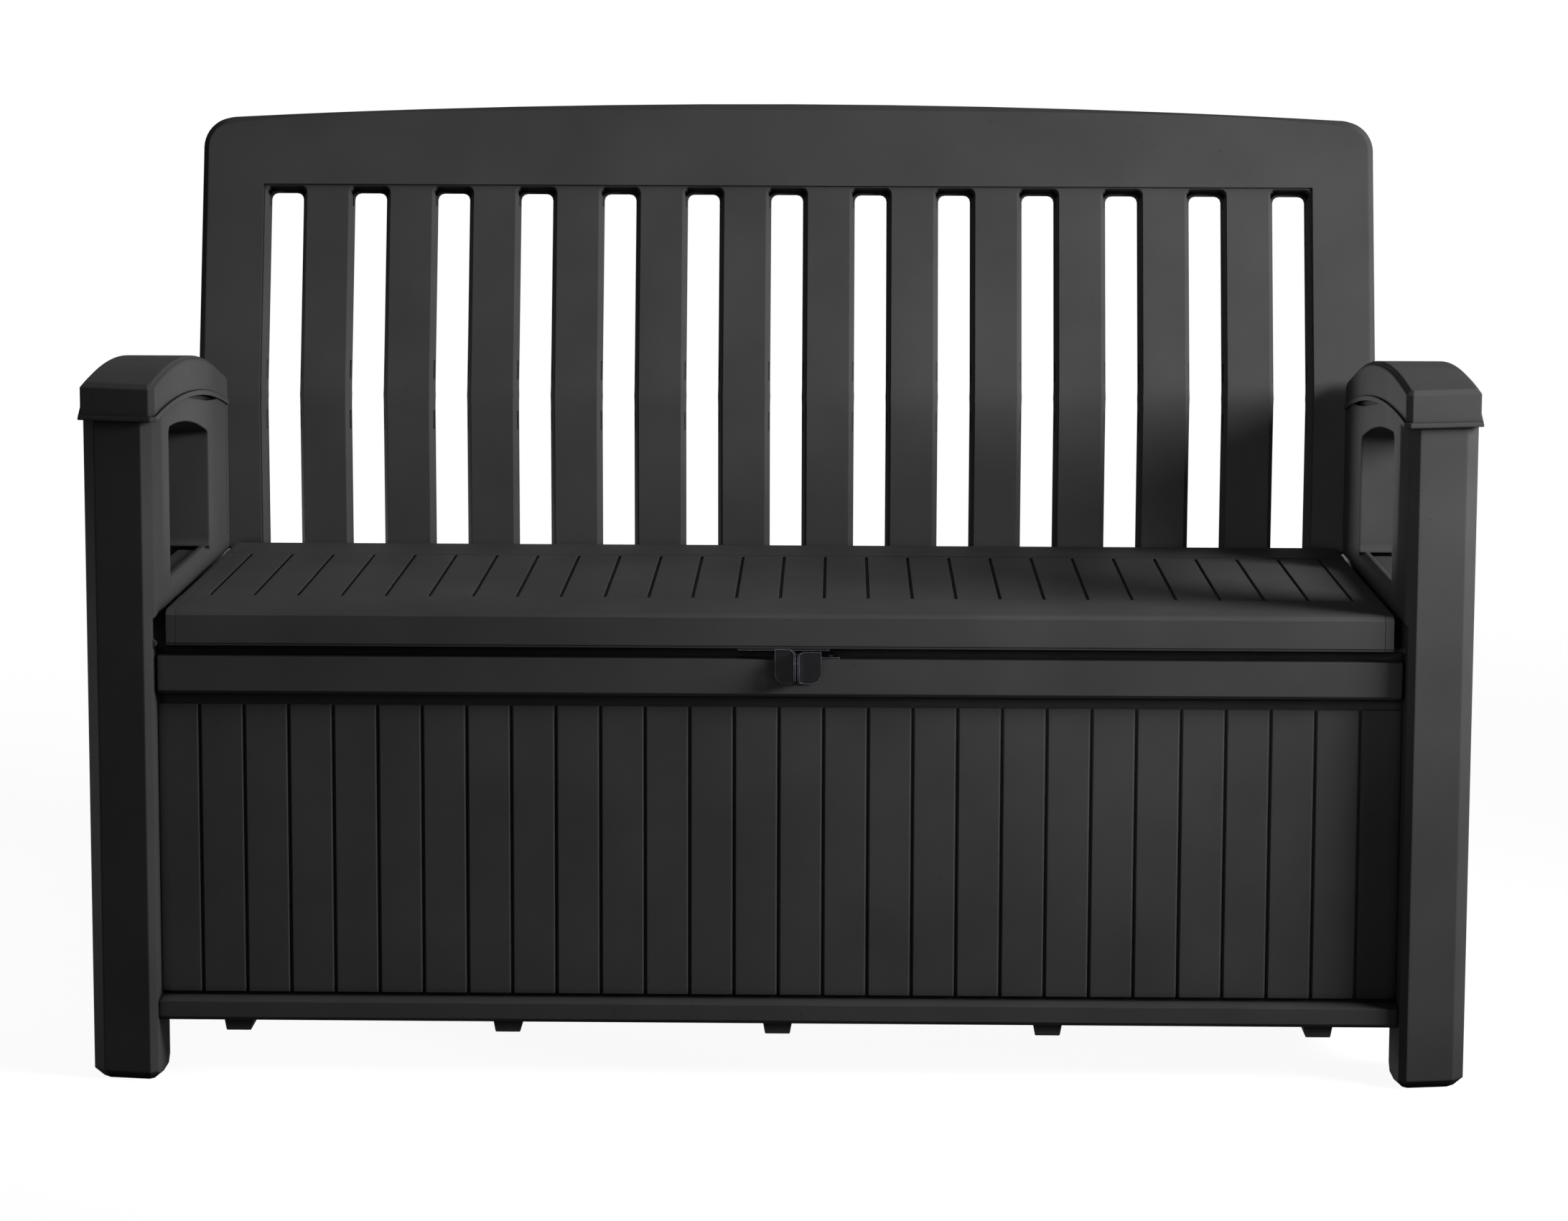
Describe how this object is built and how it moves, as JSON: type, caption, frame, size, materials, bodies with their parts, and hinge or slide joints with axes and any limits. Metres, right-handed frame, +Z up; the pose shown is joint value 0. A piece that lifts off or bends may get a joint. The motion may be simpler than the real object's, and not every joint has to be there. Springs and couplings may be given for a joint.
{
  "type": "garden storage bench",
  "caption": "Resin garden bench with slatted backrest, capped arms and a hinged plank seat that lifts to open a storage box; a hasp takes a padlock.",
  "frame": {"origin": "middle of the bench's footprint box, on the ground", "axes": "+X to the right along the seat, +Y towards the backrest, +Z up"},
  "size_m": [1.39, 0.6052, 0.966],
  "materials": {
    "charcoal_resin": "fine moulded grain, satin matte",
    "hinge_resin": "smooth moulded matte",
    "hasp_metal": "gloss black coating",
    "pin_steel": "zinc plated",
    "screw_steel": "zinc plated",
    "stiffener_steel": "galvanised"
  },
  "bodies": {
    "bench": {"left_side_frame": "charcoal_resin", "right_side_frame": "charcoal_resin", "left_arm_cap": "charcoal_resin", "right_arm_cap": "charcoal_resin", "front_panel": "charcoal_resin", "rear_panel": "charcoal_resin", "floor_panel": "charcoal_resin", "backrest_front_shell": "charcoal_resin", "backrest_rear_shell": "charcoal_resin", "backrest_screws": "screw_steel", "hinge_screws": "screw_steel", "panel_hasp": "hasp_metal", "panel_hasp_screws": "hasp_metal", "left_hinge_bracket": "hinge_resin", "left_hinge_pin": "pin_steel", "centre_hinge_bracket": "hinge_resin", "centre_hinge_pin": "pin_steel", "right_hinge_bracket": "hinge_resin", "right_hinge_pin": "pin_steel"},
    "lid": {"lid_seat_panel": "charcoal_resin", "lid_underside_panel": "charcoal_resin", "left_lid_end_cap": "charcoal_resin", "right_lid_end_cap": "charcoal_resin", "front_lid_stiffener": "stiffener_steel", "rear_lid_stiffener": "stiffener_steel", "lid_hasp": "hasp_metal", "lid_hasp_screws": "hasp_metal"}
  },
  "joints": [
    {"name": "lid_hinge", "type": "hinge", "parent": "bench", "child": "lid", "pos_m": [0, 0.16984, 0.466], "axis": [-1, 0, 0], "range_deg": [0, 90]}
  ]
}
